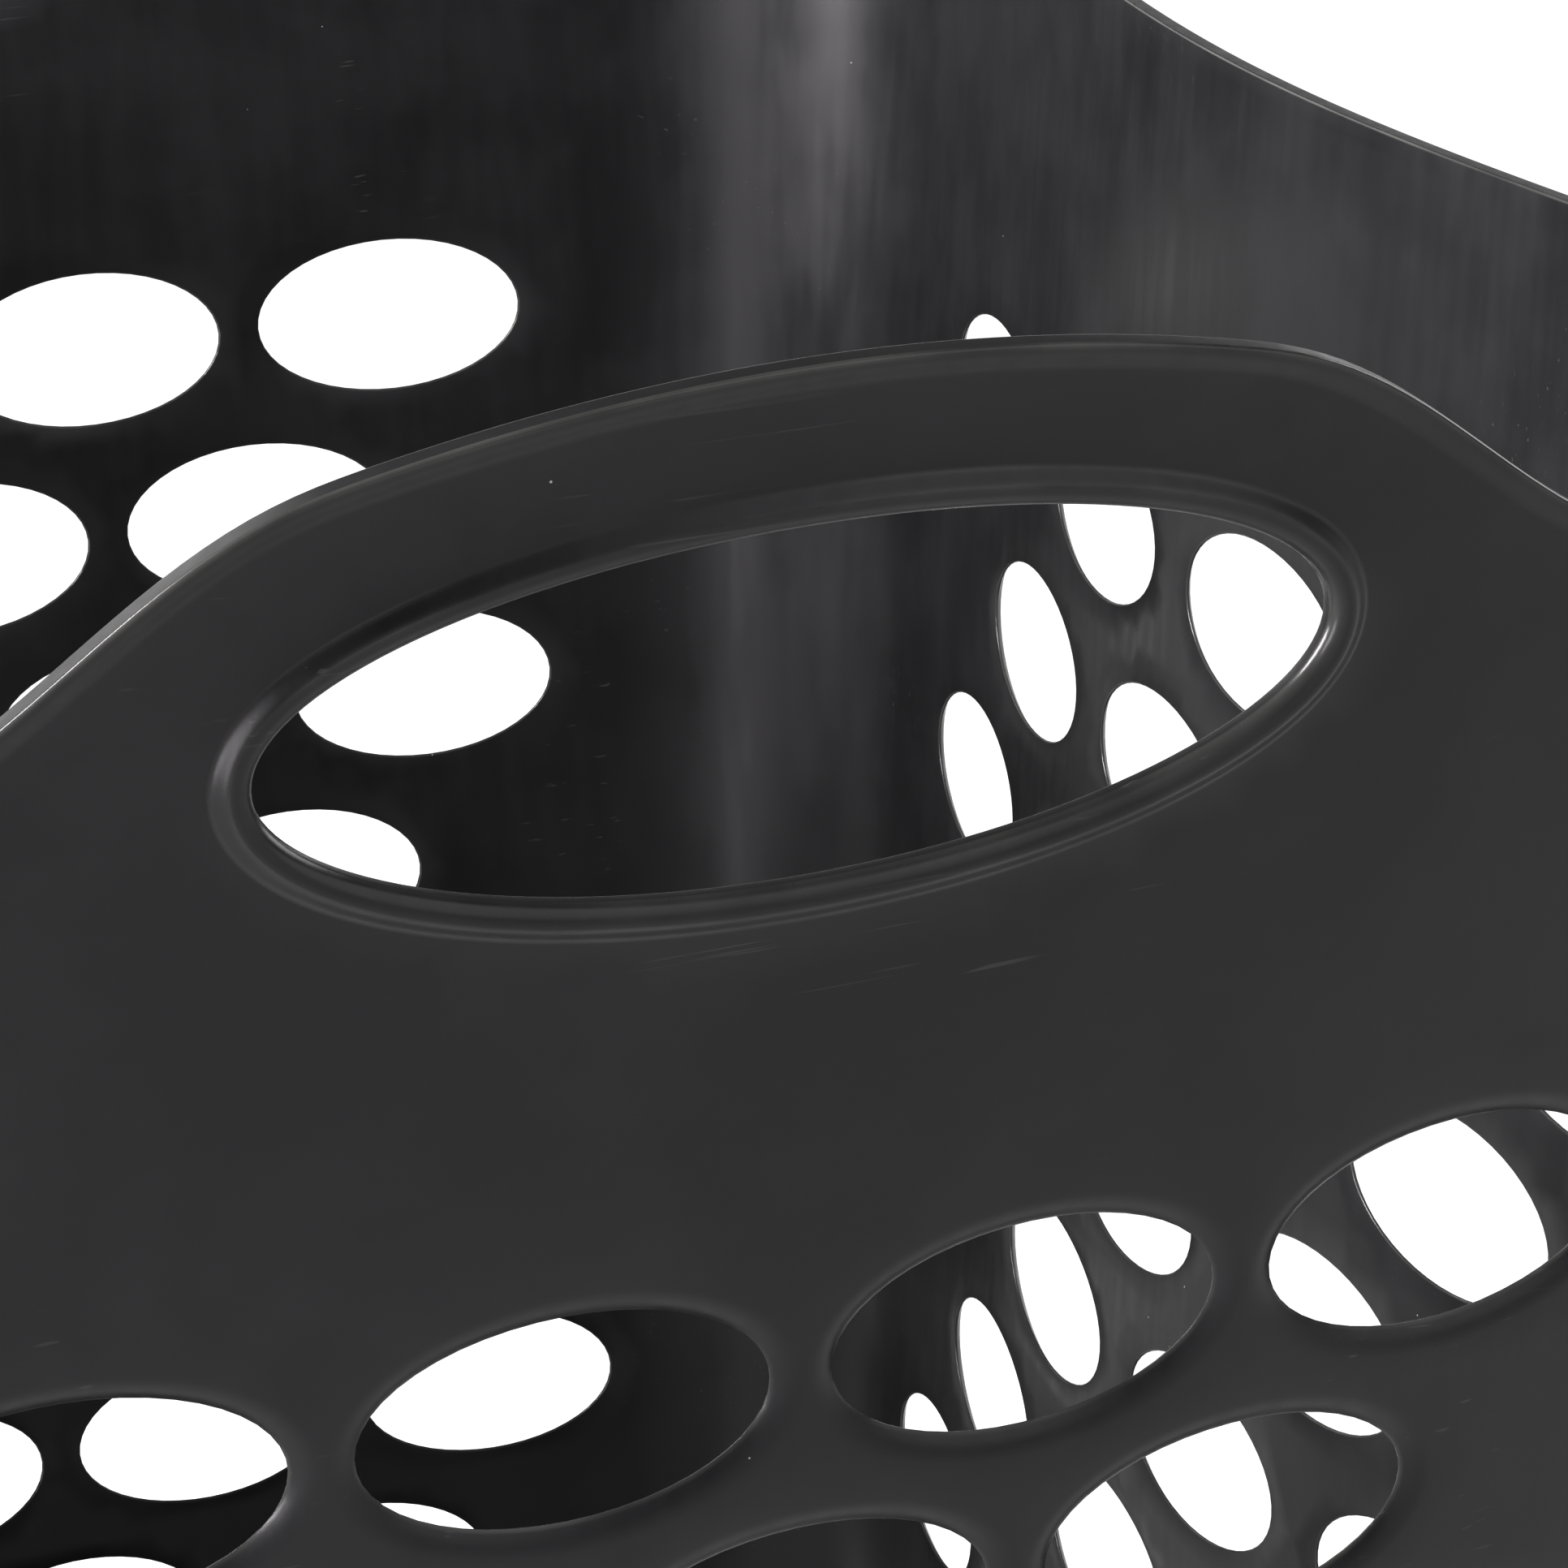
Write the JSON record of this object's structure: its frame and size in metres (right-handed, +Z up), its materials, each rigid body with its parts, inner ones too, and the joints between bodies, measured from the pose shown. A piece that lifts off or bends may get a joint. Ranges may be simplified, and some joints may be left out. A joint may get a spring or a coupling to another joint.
{
  "type": "umbrella stand",
  "caption": "Tapered umbrella stand moulded in black plastic, with rows of oval perforations, raised hand-grip ends, a lift-out drip tray and rubber feet.",
  "frame": {"origin": "on the surface that the stand rests on, below the middle of the container", "axes": "+Z up, towards the open top; the two raised hand-grip walls face -Y and +Y, the two lower side walls face -X and +X"},
  "size_m": [0.2872, 0.3646, 0.4675],
  "materials": {
    "shell": "satin black polypropylene, faintly mottled",
    "tray": "satin black polypropylene",
    "feet": "matt black rubber"
  },
  "bodies": {
    "stand": {"container": "shell", "foot_front_left": "feet", "foot_front_right": "feet", "foot_back_left": "feet", "foot_back_right": "feet"},
    "tray": {"drip_tray": "tray"}
  },
  "joints": [
    {"name": "tray_lift_out", "type": "slide", "parent": "stand", "child": "tray", "axis": [0, 0, 1], "range_m": [0, 0.48]}
  ]
}
